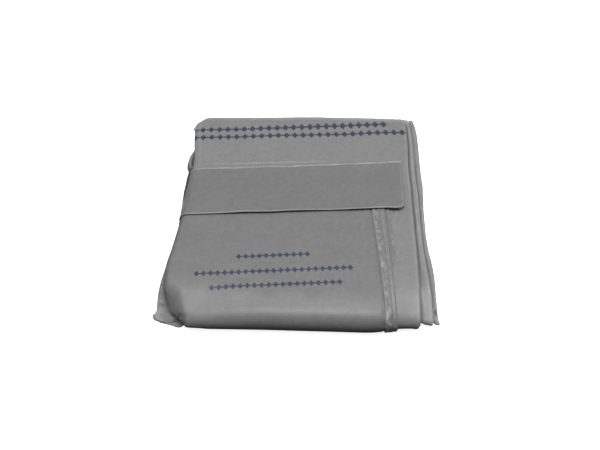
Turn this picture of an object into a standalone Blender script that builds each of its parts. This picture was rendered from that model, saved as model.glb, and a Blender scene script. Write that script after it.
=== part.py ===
# Storage bag for a household appliance, folded away into a flat packet.
# The bag's body is one sheet folded back and forth, then folded in half over a round front fold.
# Its manual pocket lies on top and runs over the front fold, and the pocket's flap lies across both.
# Metres, +Z up. The origin is under the middle of the packet, on the surface that it rests on.
# +X points to the side where the folds step out, +Y to the open end, and the round fold is at -Y.

import math

import bpy

MM = 0.001

# Driving sizes of the packet
BODY_HEIGHT = 24.4 * MM
REAR_Y = 154.2 * MM
BEND_Y = -141.4 * MM
BOTTOM_REAR_Y = 147.0 * MM
REAR_ASKEW = 4.3 * MM
REAR_CUT = 19.5 * MM
FRONT_SET_BACK = 4.4 * MM
MIDDLE_X = -2.205 * MM
MIDDLE_Y = 6.52 * MM
CLEARANCE = 0.3 * MM

# The body's cloth. Layers are counted from the outside of each half to its middle.
BODY_CLOTH = 1.2 * MM
LAYER_GAP = 0.84 * MM
LAYERS = 6
WRAP_RADIUS = 5.2 * MM
WRAP_TURN = math.radians(140)
INNER_FOLD_SETBACK = 3.3 * MM
LEFT_MARGIN = 7.0 * MM
FREE_EDGE_SETBACK = 9.5 * MM

# The pocket and its flap, which are sewn a little askew of the folds
POCKET_CLOTH = 1.2 * MM
POCKET_HEM_RISE = 0.6 * MM
POCKET_HEM_WIDTH = 12.5 * MM
POCKET_WIDTH = 229.0 * MM
POCKET_MOUTH_STATION = 6
POCKET_END_STATION = 21
POCKET_MOST_WRAP = math.radians(104)
FLAP_CLOTH = 1.4 * MM
FLAP_CORNER = 7.0 * MM
FLAP_WRAP = math.radians(112)
FLAP_REST_DEPTH = -3.2 * MM
FLAP_LIFT = 0.9 * MM
FLAP_LENGTH = 80.0 * MM
SEAM_SLANT = 0.088
FREE_SLANT = 0.075

# Where the folds end at each side, in millimetres, along the sheet's way round the packet.
# way: 0 at the rear of the top, 1 at the start of the front fold, 2 at its end, 3 at the rear below
FOLD_ENDS = [
    {"way": 0.00, "outer": 120.0, "middle": 125.6, "inner": 131.2, "left": -133.6},
    {"way": 0.05, "outer": 121.0, "middle": 126.6, "inner": 133.0, "left": -131.6},
    {"way": 0.14, "outer": 121.3, "middle": 127.2, "inner": 133.4, "left": -128.2},
    {"way": 0.22, "outer": 120.4, "middle": 126.6, "inner": 132.8, "left": -129.4},
    {"way": 0.36, "outer": 119.8, "middle": 126.2, "inner": 132.4, "left": -126.6},
    {"way": 0.52, "outer": 119.4, "middle": 126.0, "inner": 129.8, "left": -122.6},
    {"way": 0.60, "outer": 118.8, "middle": 125.7, "inner": 130.0, "left": -123.3},
    {"way": 0.69, "outer": 118.4, "middle": 125.5, "inner": 130.4, "left": -126.6},
    {"way": 0.82, "outer": 117.8, "middle": 127.2, "inner": 132.7, "left": -130.6},
    {"way": 0.93, "outer": 117.4, "middle": 128.6, "inner": 133.4, "left": -129.0},
    {"way": 1.00, "outer": 117.2, "middle": 128.8, "inner": 133.6, "left": -123.4},
    {"way": 1.33, "outer": 116.6, "middle": 128.4, "inner": 134.0, "left": -114.0},
    {"way": 1.62, "outer": 114.6, "middle": 127.0, "inner": 134.2, "left": -106.5},
    {"way": 1.80, "outer": 113.8, "middle": 126.0, "inner": 133.4, "left": -115.5},
    {"way": 2.00, "outer": 116.0, "middle": 125.0, "inner": 131.6, "left": -138.6},
    {"way": 2.05, "outer": 117.6, "middle": 124.4, "inner": 130.0, "left": -135.9},
    {"way": 2.12, "outer": 119.4, "middle": 124.0, "inner": 128.8, "left": -135.2},
    {"way": 2.22, "outer": 119.4, "middle": 123.8, "inner": 128.2, "left": -133.8},
    {"way": 2.34, "outer": 119.0, "middle": 123.6, "inner": 127.8, "left": -132.0},
    {"way": 2.48, "outer": 118.4, "middle": 123.4, "inner": 127.6, "left": -130.8},
    {"way": 2.64, "outer": 118.4, "middle": 123.5, "inner": 127.7, "left": -133.0},
    {"way": 2.78, "outer": 118.4, "middle": 123.6, "inner": 127.8, "left": -134.8},
    {"way": 2.83, "outer": 118.5, "middle": 123.8, "inner": 128.0, "left": -135.4},
    {"way": 2.88, "outer": 118.6, "middle": 124.0, "inner": 128.2, "left": -129.5},
    {"way": 3.00, "outer": 119.0, "middle": 124.2, "inner": 128.4, "left": -128.5},
]

# How far each layer's open end stands out at the rear, in millimetres
REAR_OVERHANG = [0.0, -3.5, 3.0, 4.5, 9.5, 8.0]

# Stations of the sheet's way, and points across it
FLAP_ROWS = [0.0, 0.13, 0.27, 0.41, 0.55, 0.69, 0.82, 0.915, 0.945, 0.97, 0.988, 1.0]
TOP_STEPS = 11
BEND_STEPS = 11
BOTTOM_WAYS = [2.0, 2.05, 2.12, 2.22, 2.34, 2.48, 2.64, 2.78, 2.83, 2.88, 3.0]
OUTER_LAYER_STEPS = 14
INNER_LAYER_STEPS = 5
RIGHT_FOLD_STEPS = 5
LEFT_FOLD_STEPS = 3
WRAP_STEPS = 7

GREY = (0.235, 0.235, 0.232, 1.0)
FLAP_GREY = (0.215, 0.215, 0.213, 1.0)


def ease(low, high, value):
    """0 below low, 1 above high and a smooth step between them."""
    share = min(1.0, max(0.0, (value - low) / (high - low)))
    return share * share * (3.0 - 2.0 * share)


def fold_end(name, way):
    """The side position of a fold at a place on the sheet's way, eased between the table's rows."""
    for before, after in zip(FOLD_ENDS, FOLD_ENDS[1:]):
        if way <= after["way"]:
            share = ease(before["way"], after["way"], way)
            return MM * (before[name] + share * (after[name] - before[name]))
    return MM * FOLD_ENDS[-1][name]


def ways_of_body():
    """The stations along the body's way: even on the flats, closer round the front fold."""
    top = [0.0, 0.045] + [i / TOP_STEPS for i in range(1, TOP_STEPS)]
    bend = [1 + i / BEND_STEPS for i in range(BEND_STEPS)]
    return top + bend + BOTTOM_WAYS


def laid_end(name, way):
    """The side position of a fold as the body's straight facets have it, for a cloth laid on them."""
    ways = ways_of_body()
    for before, after in zip(ways, ways[1:]):
        if way <= after:
            share = (way - before) / (after - before)
            return fold_end(name, before) * (1 - share) + fold_end(name, after) * share
    return fold_end(name, ways[-1])


def layer_depth(layer):
    """Depth of a layer's middle under the packet's outer surface."""
    return BODY_CLOTH / 2 + (layer - 1) * (BODY_CLOTH + LAYER_GAP)


def run_of(start, end, depth, steps):
    """Points of one flat layer, without its last point, which the next fold begins with."""
    return [(start + (end - start) * i / steps, depth) for i in range(steps)]


def turn_of(centre_x, centre_depth, radius, start, end, steps):
    """Points round a fold. Angles are counted from straight out of the packet, positive towards +X."""
    points = []
    for i in range(steps):
        angle = start + (end - start) * i / steps
        points.append((centre_x + radius * math.sin(angle), centre_depth - radius * math.cos(angle)))
    return points


def outer_layer_xs(right, left):
    """Side positions of the outer layer's points, which the cloths laid on it share."""
    even = OUTER_LAYER_STEPS - 1
    return [right + (left - right) * i / even for i in range(even)] + [left + LEFT_MARGIN]


def top_folds(way):
    """The outer layer's two ends at a place on the way: its right fold's middle and its left turn's middle."""
    right = laid_end("outer", way) - BODY_CLOTH / 2 - (BODY_CLOTH + LAYER_GAP) / 2
    return right, laid_end("left", way) + WRAP_RADIUS + BODY_CLOTH / 2


def body_line(way):
    """The middle of the body's cloth across the packet, as (x, depth) points, inside to outside."""
    half_pitch = (BODY_CLOTH + LAYER_GAP) / 2
    left = fold_end("left", way)
    wrap_x = left + WRAP_RADIUS + BODY_CLOTH / 2
    right_x = {}
    for name in ("outer", "middle", "inner"):
        right_x[name] = fold_end(name, way) - BODY_CLOTH / 2 - half_pitch
    left_x = left + INNER_FOLD_SETBACK + BODY_CLOTH / 2 + half_pitch
    line = []
    start = left + FREE_EDGE_SETBACK
    for name, deep in (("inner", 6), ("middle", 4), ("outer", 2)):
        depth, above = layer_depth(deep), layer_depth(deep - 1)
        centre = (depth + above) / 2
        line += run_of(start, right_x[name], depth, INNER_LAYER_STEPS)
        line += turn_of(right_x[name], centre, half_pitch, math.pi, 0.0, RIGHT_FOLD_STEPS)
        if name != "outer":
            line += run_of(right_x[name], left_x, above, INNER_LAYER_STEPS)
            next_centre = above - half_pitch
            line += turn_of(left_x, next_centre, half_pitch, -math.pi, 0.0, LEFT_FOLD_STEPS)
            start = left_x
    line += [(x, layer_depth(1)) for x in outer_layer_xs(right_x["outer"], wrap_x)]
    wrap_depth = layer_depth(1) + WRAP_RADIUS
    line += turn_of(wrap_x, wrap_depth, WRAP_RADIUS, 0.0, -WRAP_TURN, WRAP_STEPS)
    last = -WRAP_TURN
    line.append((wrap_x + WRAP_RADIUS * math.sin(last), wrap_depth - WRAP_RADIUS * math.cos(last)))
    return line


def layer_at(depth):
    """The layer's number at a depth, with a fraction between two layers."""
    return min(LAYERS, max(1.0, 1 + (depth - BODY_CLOTH / 2) / (BODY_CLOTH + LAYER_GAP)))


def rear_overhang(depth):
    """How far the open end stands out at a depth."""
    layer = layer_at(depth)
    below = int(layer)
    if below >= LAYERS:
        return MM * REAR_OVERHANG[-1]
    share = layer - below
    return MM * (REAR_OVERHANG[below - 1] * (1 - share) + REAR_OVERHANG[below] * share)


def sides_of(line, outer_half, inner_half):
    """The two faces of a cloth from its middle line. Each half thickness is a value or one for each point."""
    faces = ([], [])
    last = len(line) - 1
    for i, (x, depth) in enumerate(line):
        before, after = line[max(0, i - 1)], line[min(last, i + 1)]
        along = (after[0] - before[0], after[1] - before[1])
        length = math.hypot(*along)
        normal = (-along[1] / length, along[0] / length)
        for face, side, half in zip(faces, (1, -1), (outer_half, inner_half)):
            reach = side * (half[i] if isinstance(half, list) else half)
            face.append((x + normal[0] * reach, depth + normal[1] * reach))
    return faces


def settle(x, y, z):
    """Where the ideal packet's point comes to rest: the uneven height of hand-folded cloth, flat below."""
    corner = ease(-104 * MM, -132 * MM, x) * ease(-96 * MM, -138 * MM, y)
    rear = 0.04 * ease(138 * MM, 160 * MM, y)
    swell = 0.035 * math.sin(math.pi * (y + 0.155) / 0.16) * math.cos(math.pi * x / 0.30)
    right_droop = 0.05 * ease(96 * MM, 134 * MM, x)
    height = (1 - 0.42 * corner) * (1 - rear) * (1 + swell) * (1 - right_droop)
    back = FRONT_SET_BACK * ease(62 * MM, 112 * MM, x) * (1 - 0.85 * ease(123 * MM, 134 * MM, x))
    return (x - MIDDLE_X, y + back * ease(-40 * MM, -130 * MM, y) - MIDDLE_Y, z * height)


def rear_shape(x):
    """How far the open end of the top stands back at a side position: askew, with its left corner cut off."""
    askew = REAR_ASKEW * ease(-125 * MM, 20 * MM, x)
    return askew - REAR_CUT * min(1.0, max(0.0, (-118 * MM - x) / (13 * MM)))


def placed(x, depth, way, shift=0.0):
    """A point of the folded sheet in space. way runs over the top, round the front fold and below."""
    bend_middle = BODY_HEIGHT / 2
    radius = bend_middle - depth
    if way <= 1:
        y = REAR_Y + (BEND_Y - REAR_Y) * way + shift + rear_shape(x) * ease(0.09, 0.0, way)
        return settle(x, y, bend_middle + radius)
    if way < 2:
        angle = math.pi * (way - 1)
        return settle(x, BEND_Y - radius * math.sin(angle), bend_middle + radius * math.cos(angle))
    y = BEND_Y + (BOTTOM_REAR_Y - BEND_Y) * (way - 2) + shift
    return settle(x, y, bend_middle - radius)


def material(name, colour):
    """Plain coated cloth of one colour."""
    made = bpy.data.materials.new(name)
    made.use_nodes = True
    shader = made.node_tree.nodes["Principled BSDF"]
    shader.inputs["Base Color"].default_value = colour
    shader.inputs["Roughness"].default_value = 0.62
    shader.inputs["Metallic"].default_value = 0.0
    made.diffuse_color = colour
    return made


def skinned(name, stations, cloth):
    """One closed cloth from its stations, each a pair of equally long rows: the outer and inner face."""
    across = len(stations[0][0])
    points = [point for outer, inner in stations for point in outer + inner]
    row = 2 * across

    def outer_at(station, i):
        return station * row + i

    def inner_at(station, i):
        return station * row + across + i

    faces = []
    for s in range(len(stations) - 1):
        for i in range(across - 1):
            faces.append((outer_at(s, i), outer_at(s, i + 1), outer_at(s + 1, i + 1), outer_at(s + 1, i)))
            faces.append((inner_at(s, i), inner_at(s + 1, i), inner_at(s + 1, i + 1), inner_at(s, i + 1)))
        end = across - 1
        faces.append((outer_at(s, 0), outer_at(s + 1, 0), inner_at(s + 1, 0), inner_at(s, 0)))
        faces.append((outer_at(s, end), inner_at(s, end), inner_at(s + 1, end), outer_at(s + 1, end)))
    end = len(stations) - 1
    for i in range(across - 1):
        faces.append((outer_at(0, i), inner_at(0, i), inner_at(0, i + 1), outer_at(0, i + 1)))
        faces.append((outer_at(end, i), outer_at(end, i + 1), inner_at(end, i + 1), inner_at(end, i)))
    mesh = bpy.data.meshes.new(name)
    mesh.from_pydata(points, [], faces)
    mesh.validate()
    mesh.shade_smooth()
    mesh.set_sharp_from_angle(angle=math.radians(50))
    mesh.materials.append(cloth)
    made = bpy.data.objects.new(name, mesh)
    bpy.context.scene.collection.objects.link(made)
    return made


def bag_body():
    """The whole body of the bag: one sheet, folded back and forth and then in half."""
    stations = []
    for way in ways_of_body():
        line = body_line(way)
        fade = ease(0.16, 0.0, way) + ease(2.84, 3.0, way)
        faces = []
        for face in sides_of(line, BODY_CLOTH / 2, BODY_CLOTH / 2):
            placed_face = []
            for (x, depth), (middle_x, middle_depth) in zip(face, line):
                placed_face.append(placed(x, depth, way, fade * rear_overhang(middle_depth)))
            faces.append(placed_face)
        stations.append((faces[0], faces[1]))
    return skinned("bag_body", stations, material("coated_cloth", GREY))


def cover_line(first, turn_x, turn_depth, depth, turn, turns):
    """Middle line of a cloth laid on the body: given points, then its turn round the left side."""
    radius = turn_depth - depth
    line = list(first)
    line += turn_of(turn_x, turn_depth, radius, 0.0, -turn, turns)
    line.append((turn_x - radius * math.sin(turn), turn_depth - radius * math.cos(turn)))
    return line


def pocket_right(way):
    """Side position of the pocket's right edge, which runs askew towards the front."""
    flat = REAR_Y + (BEND_Y - REAR_Y) * min(1.0, way)
    return 87.2 * MM - 0.041 * flat + 1.5 * MM * ease(1.0, 1.5, way)


def manual_pocket():
    """The patch pocket: its mouth lies under the flap, its hem is at the right, and it ends under the fold."""
    depth = -(CLEARANCE + POCKET_CLOTH / 2)
    turn_depth = layer_depth(1) + WRAP_RADIUS
    hem_steps = 3
    stations = []
    for way in ways_of_body()[POCKET_MOUTH_STATION:POCKET_END_STATION + 1]:
        right = pocket_right(way)
        hem_x = right - POCKET_HEM_WIDTH
        body_right, turn_x = top_folds(way)
        turn = min(POCKET_MOST_WRAP, (POCKET_WIDTH - (right - turn_x)) / (turn_depth - depth))
        flat = run_of(right, hem_x, depth, hem_steps) + [(hem_x, depth)]
        half = [POCKET_CLOTH / 2 + POCKET_HEM_RISE] * len(flat)
        flat.append((hem_x - POCKET_CLOTH / 2, depth))
        flat += [(x, depth) for x in outer_layer_xs(body_right, turn_x)[3:]]
        line = cover_line(flat, turn_x, turn_depth, depth, turn, 5)
        half += [POCKET_CLOTH / 2] * (len(line) - len(half))
        faces = []
        for face in sides_of(line, half, POCKET_CLOTH / 2):
            faces.append([placed(x, d, way) for x, d in face])
        stations.append((faces[0], faces[1]))
    return skinned("manual_pocket", stations, material("pocket_cloth", GREY))


def flap_y(x, share):
    """Y of the flap above a side position: share 0 is at its seam and 1 at its free edge."""
    seam = 67.8 * MM + SEAM_SLANT * x
    free = -12.4 * MM + FREE_SLANT * x
    return seam + share * (free - seam)


def flap_depth(x, share):
    """Depth of the flap's middle: on the body at its seam, over the pocket, and lifted at its free edge."""
    seam = -(CLEARANCE + FLAP_CLOTH / 2)
    over = ease(0.18, 0.58, share)
    lift = FLAP_LIFT * ease(0.55, 1.0, share) * ease(-118 * MM, -70 * MM, x)
    return seam + over * (FLAP_REST_DEPTH - seam) - lift


def way_at(y):
    """The place on the way of a point of the top."""
    return (REAR_Y - y) / (REAR_Y - BEND_Y)


def pocket_flap():
    """The flap across the pocket's mouth: sewn at the rear, loose at the front, turned down at the left."""
    turn_depth = layer_depth(1) + WRAP_RADIUS
    stations = []
    for share in FLAP_ROWS:
        inset = max(0.0, FLAP_CORNER - (1 - share) * FLAP_LENGTH)
        rounding = FLAP_CORNER - math.sqrt(max(0.0, FLAP_CORNER**2 - inset**2))
        right = 110.2 * MM - 1.5 * MM * share - rounding
        body_right, turn_x = top_folds(way_at(flap_y(-125 * MM, share)))
        xs = [right] + outer_layer_xs(body_right, turn_x)[1:]
        flat = [(x, flap_depth(x, share)) for x in xs]
        line = cover_line(flat, turn_x, turn_depth, flap_depth(turn_x, share), FLAP_WRAP, 6)
        outer, inner = [], []
        for face, kept in zip(sides_of(line, FLAP_CLOTH / 2, FLAP_CLOTH / 2), (outer, inner)):
            for x, depth in face:
                kept.append(placed(x, depth, way_at(flap_y(x, share))))
        stations.append((outer, inner))
    return skinned("pocket_flap", stations, material("flap_cloth", FLAP_GREY))


def main():
    for old in list(bpy.data.objects):
        bpy.data.objects.remove(old)
    bag_body()
    manual_pocket()
    pocket_flap()


main()
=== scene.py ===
import math

import bpy
import numpy as np
from mathutils import Matrix, Vector


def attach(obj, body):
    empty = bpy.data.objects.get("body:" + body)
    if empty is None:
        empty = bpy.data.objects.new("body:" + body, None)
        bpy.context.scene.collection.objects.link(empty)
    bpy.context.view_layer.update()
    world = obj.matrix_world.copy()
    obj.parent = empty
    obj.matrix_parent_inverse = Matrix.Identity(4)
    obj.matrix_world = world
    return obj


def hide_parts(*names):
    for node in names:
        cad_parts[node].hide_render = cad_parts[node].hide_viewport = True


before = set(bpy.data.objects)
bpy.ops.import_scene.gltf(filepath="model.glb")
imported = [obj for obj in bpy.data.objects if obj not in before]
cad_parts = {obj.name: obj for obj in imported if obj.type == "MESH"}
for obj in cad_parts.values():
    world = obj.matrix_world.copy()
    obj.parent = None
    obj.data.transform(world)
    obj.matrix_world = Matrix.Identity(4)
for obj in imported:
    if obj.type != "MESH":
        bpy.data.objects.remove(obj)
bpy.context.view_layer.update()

mm = 0.001


# camera: the photo's angle, about 44 degrees down and turned 2 degrees

cameraSet = {
    "place": (0.0212, -0.5990, 0.5674),
    "down": 44.0,
    "turn": 2.0,
    "lens": 45.3,
    "sensor": 36.0,
}


def addCamera():
    down = math.radians(cameraSet["down"])
    turn = math.radians(cameraSet["turn"])
    ahead = Vector((-math.sin(turn) * math.cos(down), math.cos(turn) * math.cos(down), -math.sin(down)))
    right = Vector((math.cos(turn), math.sin(turn), 0))
    data = bpy.data.cameras.new("photoCamera")
    data.lens = cameraSet["lens"]
    data.sensor_width = cameraSet["sensor"]
    data.clip_start = 0.01
    camera = bpy.data.objects.new("photoCamera", data)
    bpy.context.scene.collection.objects.link(camera)
    pose = Matrix((right, right.cross(ahead), -ahead)).transposed().to_4x4()
    pose.translation = cameraSet["place"]
    camera.matrix_world = pose
    bpy.context.scene.camera = camera


addCamera()
print("camera placed")


# the packet: where its folds lie, as in the solids

packet = {
    "height": 24.4 * mm,
    "rearY": 155.0 * mm,        # open end, on top
    "bendY": -141.4 * mm,       # where the round front fold starts
    "rearBelowY": 147.0 * mm,
    "rearAskew": 4.3 * mm,
    "rearCut": 17.5 * mm,       # the rear left corner is folded away
    "frontSetBack": 4.4 * mm,   # the front fold runs back to the right
    "middle": (-2.205 * mm, 6.52 * mm),
    "firstDepth": 0.6 * mm,
    "layerPitch": 2.04 * mm,
    "bendLong": 38 * mm,        # outside length of the front fold's curve
    "wrapRadius": 5.2 * mm,     # the left side, where the outermost layer wraps down
    "wrapTurn": math.radians(140),
    "wrapIn": 0.6 * mm,
    "innerSetback": 3.3 * mm,
    "freeSetback": 9.5 * mm,
    "freeBelow": 2.2 * mm,      # the same below, where it shows beside the wrap
}
topLong = packet["rearY"] - packet["bendY"]

# way: 0 rear of the top, 1 to 2 the front fold, 3 rear below; the rest in mm
foldEnds = np.array([
    # way, outer, middle, inner, left
    (0.00, 116.6, 125.6, 131.0, -134.4),
    (0.015, 119.0, 125.9, 132.0, -134.2),
    (0.04, 120.4, 126.4, 133.4, -133.4),
    (0.09, 120.6, 127.0, 134.1, -132.2),
    (0.14, 120.4, 127.2, 134.0, -130.6),
    (0.20, 119.5, 126.9, 133.2, -128.0),
    (0.26, 119.0, 126.5, 132.9, -126.0),
    (0.31, 118.8, 126.3, 132.8, -125.0),
    (0.37, 118.7, 126.2, 133.3, -125.0),
    (0.44, 118.4, 126.1, 132.4, -124.8),
    (0.52, 118.3, 126.0, 131.0, -123.9),
    (0.60, 118.2, 125.7, 130.6, -125.4),
    (0.65, 118.1, 125.6, 130.9, -126.6),
    (0.69, 118.1, 125.5, 131.3, -127.3),
    (0.76, 118.0, 126.2, 132.5, -128.4),
    (0.82, 117.8, 127.2, 133.3, -130.0),
    (0.88, 117.6, 128.0, 133.4, -129.0),
    (0.93, 117.4, 128.6, 133.5, -126.9),
    (0.965, 117.3, 128.7, 133.8, -122.4),
    (1.00, 117.2, 128.8, 134.2, -117.8),
    (1.20, 116.9, 128.6, 134.6, -113.0),
    (1.40, 116.2, 128.2, 134.9, -110.0),
    (1.62, 114.6, 127.0, 135.0, -107.5),
    (1.80, 113.8, 126.0, 134.2, -114.5),
    (2.00, 116.0, 125.0, 132.0, -136.0),
    (2.012, 116.4, 124.8, 131.4, -138.6),
    (2.03, 117.0, 124.6, 130.7, -135.7),
    (2.06, 117.9, 124.4, 129.8, -136.3),
    (2.10, 119.0, 124.1, 129.1, -137.4),
    (2.15, 119.4, 124.0, 128.6, -137.4),
    (2.20, 119.4, 123.8, 128.3, -136.4),
    (2.26, 119.3, 123.8, 128.1, -134.8),
    (2.34, 119.0, 123.6, 127.8, -132.2),
    (2.48, 118.4, 123.4, 127.6, -132.0),
    (2.60, 118.4, 123.5, 127.7, -132.3),
    (2.70, 118.4, 123.5, 127.7, -132.2),
    (2.742, 118.4, 123.6, 127.8, -132.4),
    (2.757, 118.4, 123.6, 127.8, -134.9),
    (2.80, 118.4, 123.7, 127.9, -136.1),
    (2.842, 118.5, 123.8, 128.0, -134.8),
    (2.868, 118.6, 123.9, 128.1, -132.2),
    (2.89, 118.6, 124.0, 128.2, -129.5),
    (3.00, 119.0, 124.2, 128.4, -128.5),
])
foldNames = {"outer": 1, "middle": 2, "inner": 3, "left": 4}
rearOverhang = np.array([0.0, -3.5, 1.6, 2.6, 9.5, 8.0]) * mm  # of each layer, from the outermost in

# how the packet settles: mostly shares taken off its height, with bumps all over it
lie = {
    "rearDrop": 0.04,
    "frontDrop": 0.15,          # the top slopes gently before it turns down
    "frontRightDrop": 0.18,
    "frontLeftDrop": 0.22,
    "stepDrop": 0.32,           # the stepped folds lie lowest at the front
    "rightDrop": 0.05,
    "swell": 0.035,
    "largeBump": 0.021,
    "smallBump": 0.010,
    "backInner": 1.0 * mm,      # the front also runs back where the folds step out
    "backOuter": 2.2 * mm,
}

# the low front left corner: the lower half's corner sticks out under it as a flat cuff
cuff = {
    "cornerDrop": 0.42,
    "out": 2.4 * mm,
    "thin": 0.5,
    "flatten": 0.52,            # share that its layers close up by
    "edgeSpread": 0.14,         # the same back at its edge, which stays a little open
    "ridge": ((-124, -141), (-111.5, -149.5)),  # in mm
    "ridgeHigh": 0.30,
    "ridgeWide": 1.6 * mm,
    "notchX": -105.5 * mm,      # a notch parts it from the front fold
    "notchRight": 6.0 * mm,
    "notchLeft": 3.0 * mm,
    "notchDeep": 4.0 * mm,
}

# creases that the cloth keeps from other foldings: ends in mm, depth as a share of the height
creases = [
    {"from": (-128, -44), "to": (118, -30), "deep": 0.006, "wide": 2.2},
    {"from": (92, -57.5), "to": (119, -56.5), "deep": 0.014, "wide": 2.5},
    {"from": (-118, 67.3), "to": (40, 77.0), "deep": -0.028, "wide": 1.3},
    {"from": (-124, 61.8), "to": (112, 82.2), "deep": 0.020, "wide": 1.4},
    {"from": (-70, 10), "to": (-46, 48), "deep": 0.017, "wide": 2.6},
    {"from": (-56, 4), "to": (-34, 34), "deep": -0.013, "wide": 2.4},
    {"from": (-14, 2), "to": (-2, 40), "deep": 0.012, "wide": 2.6},
    {"from": (40, 8), "to": (66, 44), "deep": 0.013, "wide": 2.8},
    {"from": (-141.5, -123.4), "to": (-124.5, -125.2), "deep": 0.36, "wide": 1.1},
    {"from": (-120, 96), "to": (116, 104), "deep": 0.006, "wide": 2.0},
    {"from": (-40, 150), "to": (-34, 78), "deep": 0.006, "wide": 1.8},
    {"from": (-118, -60), "to": (-84, -132), "deep": 0.012, "wide": 5.0},
    {"from": (-60, -30), "to": (-52, -140), "deep": 0.006, "wide": 2.5},
    {"from": (96, 60), "to": (100, -130), "deep": 0.008, "wide": 2.5},
]


def ease(low, high, value):
    share = np.clip((value - low) / (high - low), 0, 1)
    return share * share * (3 - 2 * share)


def hump(away, wide):  # 1 in the middle, about a third at this width from it
    return np.exp(-((away / wide) ** 2))


def softNoise(x, y, size, seed):  # smooth bumps of about one size, from -1 to 1
    cells = 97
    lattice = np.random.default_rng(seed).uniform(-1, 1, (cells, cells))
    gx, gy = x / size + 40, y / size + 40
    i, j = np.floor(gx).astype(int), np.floor(gy).astype(int)
    fx, fy = gx - i, gy - j
    fx, fy = fx * fx * (3 - 2 * fx), fy * fy * (3 - 2 * fy)

    def at(a, b):
        return lattice[a % cells, b % cells]

    low = at(i, j) * (1 - fx) + at(i + 1, j) * fx
    high = at(i, j + 1) * (1 - fx) + at(i + 1, j + 1) * fx
    return low * (1 - fy) + high * fy


def foldEnd(name, way):  # a smooth curve through the table, with a little unevenness
    ways, values = foldEnds[:, 0], foldEnds[:, foldNames[name]]
    slopes = np.gradient(values, ways)
    i = np.clip(np.searchsorted(ways, way) - 1, 0, len(ways) - 2)
    gap = ways[i + 1] - ways[i]
    t = (way - ways[i]) / gap
    curve = (2 * t**3 - 3 * t**2 + 1) * values[i] + (t**3 - 2 * t**2 + t) * gap * slopes[i]
    curve += (3 * t**2 - 2 * t**3) * values[i + 1] + (t**3 - t**2) * gap * slopes[i + 1]
    ripple = 0.35 * softNoise(way, 0 * way, 0.07, 11 + foldNames[name])
    return (curve + ripple) * mm


def lineDistance(x, y, start, end):  # distance from a crease, and its share of the way along
    ax, ay = start[0] * mm, start[1] * mm
    dx, dy = (end[0] - start[0]) * mm, (end[1] - start[1]) * mm
    along = ((x - ax) * dx + (y - ay) * dy) / (dx * dx + dy * dy)
    aside = np.abs((x - ax) * dy - (y - ay) * dx) / math.hypot(dx, dy)
    return aside, along


def settle(x, y, z):  # the hand-folded packet's uneven height; the underside stays flat
    low = ease(14 * mm, 9 * mm, z)
    wing = low * ease(-108 * mm, -118 * mm, x) * ease(-126 * mm, -143 * mm, y)
    y = y - cuff["out"] * wing * ease(-138.5 * mm, -128 * mm, x)
    corner = ease(-105 * mm, -121 * mm, x + 0.28 * (y + 142 * mm)) * ease(-106 * mm, -146 * mm, y)
    rear = lie["rearDrop"] * ease(138 * mm, 160 * mm, y)
    swell = lie["swell"] * np.sin(math.pi * (y + 0.155) / 0.16) * np.cos(math.pi * x / 0.30)
    front = lie["frontDrop"] * ease(-122 * mm, -160 * mm, y)
    stepped = lie["stepDrop"] * ease(115 * mm, 122 * mm, x) * ease(-100 * mm, -148 * mm, y)
    side = lie["frontRightDrop"] * ease(76 * mm, 110 * mm, x)
    side = side + lie["frontLeftDrop"] * ease(-22 * mm, -102 * mm, x)
    side = side * ease(-112 * mm, -150 * mm, y) + lie["rightDrop"] * ease(96 * mm, 134 * mm, x)
    height = (1 - cuff["cornerDrop"] * corner) * (1 - rear) * (1 + swell)
    height = height * (1 - side) * (1 - front) * (1 - stepped)
    bumps = lie["largeBump"] * softNoise(x, y, 42 * mm, 3)
    height = height * (1 + bumps + lie["smallBump"] * softNoise(x, y, 15 * mm, 4))
    thin = cuff["thin"] * low * ease(-105 * mm, -112 * mm, x)
    height = height * (1 - thin * ease(-140 * mm, -148 * mm, y))
    aside, along = lineDistance(x, y, *cuff["ridge"])
    ridge = cuff["ridgeHigh"] * wing * ease(-0.2, 0.2, along)
    height = height * (1 + ridge * hump(aside, cuff["ridgeWide"]))
    for crease in creases:
        aside, along = lineDistance(x, y, crease["from"], crease["to"])
        fade = ease(0, 0.12, along) * ease(1, 0.88, along)
        height = height * (1 - crease["deep"] * fade * hump(aside, crease["wide"] * mm))
    back = packet["frontSetBack"] * ease(62 * mm, 112 * mm, x) * (1 - 0.85 * ease(123 * mm, 134 * mm, x))
    back = back + lie["backInner"] * ease(70 * mm, 100 * mm, x)
    back = back + lie["backOuter"] * ease(114 * mm, 120 * mm, x) * (1 - 0.4 * ease(124 * mm, 132 * mm, x))
    back = back * ease(-40 * mm, -130 * mm, y)
    high = ease(4 * mm, 12 * mm, z)
    notchWide = np.where(x > cuff["notchX"], cuff["notchRight"], cuff["notchLeft"])
    notch = hump(x - cuff["notchX"], notchWide)
    notch = np.maximum(notch, 0.3 * ease(-82 * mm, -97 * mm, x) * ease(-108 * mm, -104 * mm, x))
    dent = (1 - high) * notch + high * ease(-103 * mm, -108 * mm, x)
    dent = cuff["notchDeep"] * dent * ease(-143 * mm, -151 * mm, y)
    return np.stack([x - packet["middle"][0], y + back + dent - packet["middle"][1], z * height], -1)


def topY(way):  # along the top, and its end from there on
    return packet["rearY"] + (packet["bendY"] - packet["rearY"]) * np.minimum(way, 1)


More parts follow.
